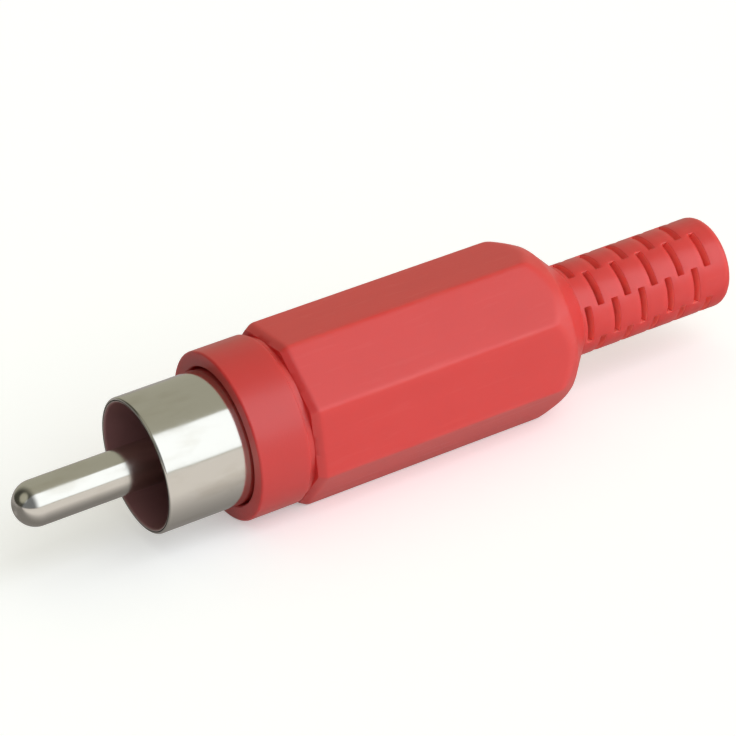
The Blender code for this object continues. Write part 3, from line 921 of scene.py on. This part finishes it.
def ringAndBend(bm, sheet, station, outer):
    # The ring in its own plane, then the strip's bend. Returns the last row and its place.
    root = outer - sheet["thickness"] / 2 - sheet["bend"]
    first = sheetRow(bm, sheet, station, root, sheet["halfWidth"])
    edge = math.atan2(sheet["halfWidth"], root)
    notch = sheet["notch"] / outer
    steps = sheet["ringSteps"]
    angles = [edge, edge + notch]
    angles += [edge + notch + (2 * math.pi - 2 * edge - 2 * notch) * i / steps for i in range(1, steps)]
    angles += [2 * math.pi - edge - notch]
    middle = math.hypot(sheet["halfWidth"], root)

    def place(angle, radius):
        across = math.sin(angle) * radius * mm
        return bm.verts.new((station * mm, across, sheet["side"] * math.cos(angle) * radius * mm))

    inner = [place(math.atan2(v.co.y, sheet["side"] * v.co.z), sheet["ringInner"]) for v in first]
    innerRest = [inner[-1]] + [place(a, sheet["ringInner"]) for a in angles[1:]] + [inner[0]]
    middleRest = [first[-1]] + [place(a, middle) for a in angles[1:]] + [first[0]]
    outerRest = [place(a, outer) for a in angles[1:]]
    joinRows(bm, [inner, first])
    joinRows(bm, [innerRest, middleRest])
    joinRows(bm, [middleRest[1:-1], outerRest])
    rows = [first]
    for i in range(1, sheet["bendSteps"] + 1):
        turn = math.pi / 2 * i / sheet["bendSteps"]
        along = station + sheet["bend"] * (1 - math.cos(turn))
        rise = root + sheet["bend"] * math.sin(turn)
        rows.append(sheetRow(bm, sheet, along, rise, sheet["halfWidth"]))
    joinRows(bm, rows)
    return rows[-1], station + sheet["bend"]


def makeGroundTag(sheet, material):
    station = stationOf(groundBox[0].x) + sheet["thickness"] / 2
    outer = (axisZ - groundBox[0].z) / mm
    drop = outer - sheet["thickness"] / 2
    end = stationOf(groundBox[1].x)
    bm = bmesh.new()
    last, start = ringAndBend(bm, sheet, station, outer)
    full = math.radians(sheet["wrap"]) * drop
    cradle = end - sheet["cradle"]
    throat = cradle - sheet["flank"]
    opening = sheet["throatShare"]
    steps = sheet["taperSteps"]
    rows = [last]
    for i in range(1, steps + 1):
        share = i / steps
        narrowing = smooth(share / sheet["waistTaper"])
        widening = smooth((share - 1 + sheet["waistTaper"]) / sheet["waistTaper"])
        half = sheet["halfWidth"] + (sheet["waist"] - sheet["halfWidth"]) * narrowing
        half += (opening * full - sheet["waist"]) * widening
        rows.append(sheetRow(bm, sheet, start + (throat - start) * share, drop, half, widening / drop))
    for i in range(1, steps + 1):
        share = 1 - math.cos(math.pi / 2 * i / steps)
        half = full * (opening + (1 - opening) * math.sqrt(1 - (1 - share) ** 2))
        rows.append(sheetRow(bm, sheet, throat + 2 * sheet["flank"] * share, drop, half, 1 / drop))
    body = throat + 2 * sheet["flank"]
    for i in range(1, sheet["cradleSteps"] + 1):
        along = body + (end - sheet["endRound"] - body) * i / sheet["cradleSteps"]
        rows.append(sheetRow(bm, sheet, along, drop, full, 1 / drop))
    for i in range(1, sheet["endSteps"] + 1):
        turn = math.pi / 2 * i / sheet["endSteps"]
        along = end - sheet["endRound"] * (1 - math.sin(turn))
        half = full - sheet["endRound"] * (1 - math.cos(turn))
        rows.append(sheetRow(bm, sheet, along, drop, half, 1 / drop))
    joinRows(bm, rows)
    bmesh.ops.recalc_face_normals(bm, faces=bm.faces)
    finishPiece("groundTag", bm, material, "insert", "ground_tag", sheet)


def makeCentreTag(sheet, material):
    station = stationOf(centreBox[0].x) + sheet["thickness"] / 2
    outer = (axisZ - centreBox[0].z) / mm
    rise = outer - sheet["thickness"] / 2
    end = stationOf(centreBox[1].x)
    half = sheet["halfWidth"]
    eye = end - half
    bm = bmesh.new()
    last, start = ringAndBend(bm, sheet, station, outer)
    rows = [last]
    for i in range(1, sheet["stripSteps"] + 1):
        along = start + (eye - half - start) * i / sheet["stripSteps"]
        rows.append(sheetRow(bm, sheet, along, rise, half))
    joinRows(bm, rows)
    # The strip's end is a ring of faces from its outline in to the eye.
    rim = list(rows[-1])
    sideSteps = sheet["sideSteps"]
    outline = [(eye - half + half * i / sideSteps, half) for i in range(1, sideSteps + 1)]
    for i in range(1, sheet["endSteps"]):
        turn = math.pi * i / sheet["endSteps"]
        outline.append((eye + half * math.sin(turn), half * math.cos(turn)))
    outline += [(eye - half * i / sideSteps, -half) for i in range(sideSteps)]
    rim += [bm.verts.new((s * mm, y * mm, rise * mm)) for s, y in outline]
    rim.append(rim[0])
    rings = [rim]
    for share in sheet["eyeRings"]:
        ring = []
        for vert in rim[:-1]:
            away = Vector((vert.co.x - eye * mm, vert.co.y))
            place = away.lerp(away.normalized() * sheet["eye"] * mm, share)
            ring.append(bm.verts.new((eye * mm + place.x, place.y, rise * mm)))
        rings.append(ring + [ring[0]])
    joinRows(bm, rings)
    bmesh.ops.recalc_face_normals(bm, faces=bm.faces)
    finishPiece("centreTag", bm, material, "insert", "centre_tag", sheet)


# Camera, floor and light

cameraView = {
    "place": (-82.240, -188.794, 105.128),     # mm, from the middle of the shell's rim
    "azimuth": -28.04,
    "elevation": 25.95,
    "roll": -6.72,
    "widthOfView": 12.139,                     # degrees
    "nearest": 0.01,                           # m
}


def makeCamera(view):
    data = bpy.data.cameras.new("photoCamera")
    camera = bpy.data.objects.new("photoCamera", data)
    bpy.context.scene.collection.objects.link(camera)
    turn = math.radians(view["azimuth"])
    rise = math.radians(view["elevation"])
    back = Vector((math.sin(turn) * math.cos(rise), -math.cos(turn) * math.cos(rise), math.sin(rise)))
    level = (-back).to_track_quat("-Z", "Y").to_matrix().to_4x4()
    place = Vector((rimX, 0.0, axisZ)) + Vector(view["place"]) * mm
    roll = Matrix.Rotation(math.radians(view["roll"]), 4, "Z")
    camera.matrix_world = Matrix.Translation(place) @ level @ roll
    data.lens = data.sensor_width / 2 / math.tan(math.radians(view["widthOfView"]) / 2)
    data.clip_start = view["nearest"]
    bpy.context.scene.camera = camera


floorLook = {
    "size": 3.0,                # m
    "squares": 8,
    "drop": 0.01,               # mm under the plug
    "paper": (0.88, 0.88, 0.88, 1.0),
    "lift": 0.34,               # added for the camera, so that the open floor is white
    "mirrored": 0.28,           # what bright metal sees close to the plug, a painted shadow
    "mirroredNear": 0.635,      # added away from the plug, on the camera's side
    "mirroredFar": 0.15,        # added on the other side
    "nearRise": (1.0 * mm, 13.0 * mm),          # distances from the axis over which each is added
    "farRise": (4.0 * mm, 40.0 * mm),
    # painted warm cast on the floor's mirrored image
    "mirroredTint": (1.0, 0.94, 0.88, 1.0),
}


def makeFloor(look):
    bm = bmesh.new()
    squares = look["squares"]
    bmesh.ops.create_grid(bm, x_segments=squares, y_segments=squares, size=look["size"] / 2)
    bmesh.ops.translate(bm, verts=bm.verts, vec=(0.0, 0.0, -look["drop"] * mm))
    mesh = bpy.data.meshes.new("paperFloor")
    bm.to_mesh(mesh)
    bm.free()
    material = bpy.data.materials.new("whitePaper")
    material.use_nodes = True
    tree = material.node_tree
    tree.nodes.clear()
    finish = Finish(tree)
    paper = finish.node("ShaderNodeBsdfDiffuse", {}, {"Color": look["paper"]})
    shown = finish.rayIs("Camera") + finish.rayIs("Transmission")
    glow = finish.node("ShaderNodeEmission", {}, {"Strength": shown * look["lift"]})
    direct = finish.node("ShaderNodeAddShader", {}, {0: paper, 1: glow})
    # Bright metal sees a painted image of the floor, with a painted shadow that is darker near the plug.
    y = finish.part(finish.place(), "Y")
    near = (-y).step(*look["nearRise"]) * look["mirroredNear"]
    far = y.step(*look["farRise"]) * look["mirroredFar"]
    strength = near + far + look["mirrored"]
    image = finish.node("ShaderNodeEmission", {}, {"Color": look["mirroredTint"], "Strength": strength})
    whole = finish.node("ShaderNodeMixShader", {}, {0: finish.rayIs("Glossy"), 1: direct, 2: image})
    output = tree.nodes.new("ShaderNodeOutputMaterial")
    finish.put(output.inputs["Surface"], whole)
    mesh.materials.append(material)
    floor = bpy.data.objects.new("paperFloor", mesh)
    bpy.context.scene.collection.objects.link(floor)


domeLook = {
    "panelLow": 2.0,            # degrees above the horizon, on the camera's side
    "panelHigh": 65.0,
    "panelEdge": 2.5,
    "panelStrength": 1.55,
    "panel": (0.955, 0.995, 1.02, 1.0),
    "room": (0.46, 0.45, 0.36, 1.0),
    "open": (1.0, 1.0, 1.0, 1.0),               # what the camera sees behind the floor
    "frontShade": 0.85,         # how much darker the room is beyond the pin's end
    "frontRise": (0.0, 0.5),
    "frontLamp": 1.0,           # a soft light that only bright metal shows, on the pin's nose
    "lampWay": (-0.78, 0.10, 0.62),
    "lampRise": (0.90, 0.97),
    "unmirrored": 0.46,         # what matt surfaces get more of than bright ones
}


def makeDome(look):
    world = bpy.data.worlds.new("studioDome")
    bpy.context.scene.world = world
    world.use_nodes = True
    tree = world.node_tree
    tree.nodes.clear()
    finish = Finish(tree)
    way = finish.node("ShaderNodeTexCoord", {}, {}, "Generated")
    x, y, z = [finish.part(way, axis) for axis in "XYZ"]
    height = z.combine("ARCTAN2", z, -y)
    low = math.radians(look["panelLow"])
    high = math.radians(look["panelHigh"])
    edge = math.radians(look["panelEdge"]) / 2
    panel = height.step(low - edge, low + edge) * (1.0 - height.step(high - edge, high + edge))
    mirrored = finish.rayIs("Glossy")
    towards = finish.node("ShaderNodeVectorMath", {"operation": "DOT_PRODUCT"},
                          {0: way, 1: look["lampWay"]}, "Value")
    shade = 1.0 - (-x).step(*look["frontRise"]) * look["frontShade"]
    shade = shade + towards.step(*look["lampRise"]) * mirrored * look["frontLamp"]
    shade = shade * (1.0 + look["unmirrored"] - mirrored * look["unmirrored"])
    panelStrength = shade * look["panelStrength"]
    lamp = finish.node("ShaderNodeBackground", {}, {"Color": look["panel"], "Strength": panelStrength})
    room = finish.node("ShaderNodeBackground", {}, {"Color": look["room"], "Strength": shade})
    white = finish.node("ShaderNodeBackground", {}, {"Color": look["open"], "Strength": 1.0})
    lit = finish.node("ShaderNodeMixShader", {}, {0: panel, 1: room, 2: lamp})
    whole = finish.node("ShaderNodeMixShader", {}, {0: finish.rayIs("Camera"), 1: lit, 2: white})
    output = tree.nodes.new("ShaderNodeOutputWorld")
    finish.put(output.inputs["Surface"], whole)


nickel = nickelFinish(nickelPlate)
red = redFinish(redMoulding)
black = blackFinish(blackMoulding)
brown = brownFinish(brownBoard)
steelTin = tinFinish("tinnedSteel", tinSteel, tinGrain)
brassTin = tinFinish("tinnedBrass", tinBrass, tinGrain)
print("finishes made")

makePin(pinSize, nickel)
makeShell(shellSize, neckThread, nickel)
makeBush(bushSize, black)
makeWasher(washerSize, brown)
makeHood(hoodSize, slotSize, hoodThread, red)
makeGroundTag(groundSheet, steelTin)
makeCentreTag(centreSheet, brassTin)
print("pieces made")

makeCamera(cameraView)
makeFloor(floorLook)
makeDome(domeLook)
bpy.context.scene.view_settings.view_transform = "Standard"
print("camera, floor and light made")
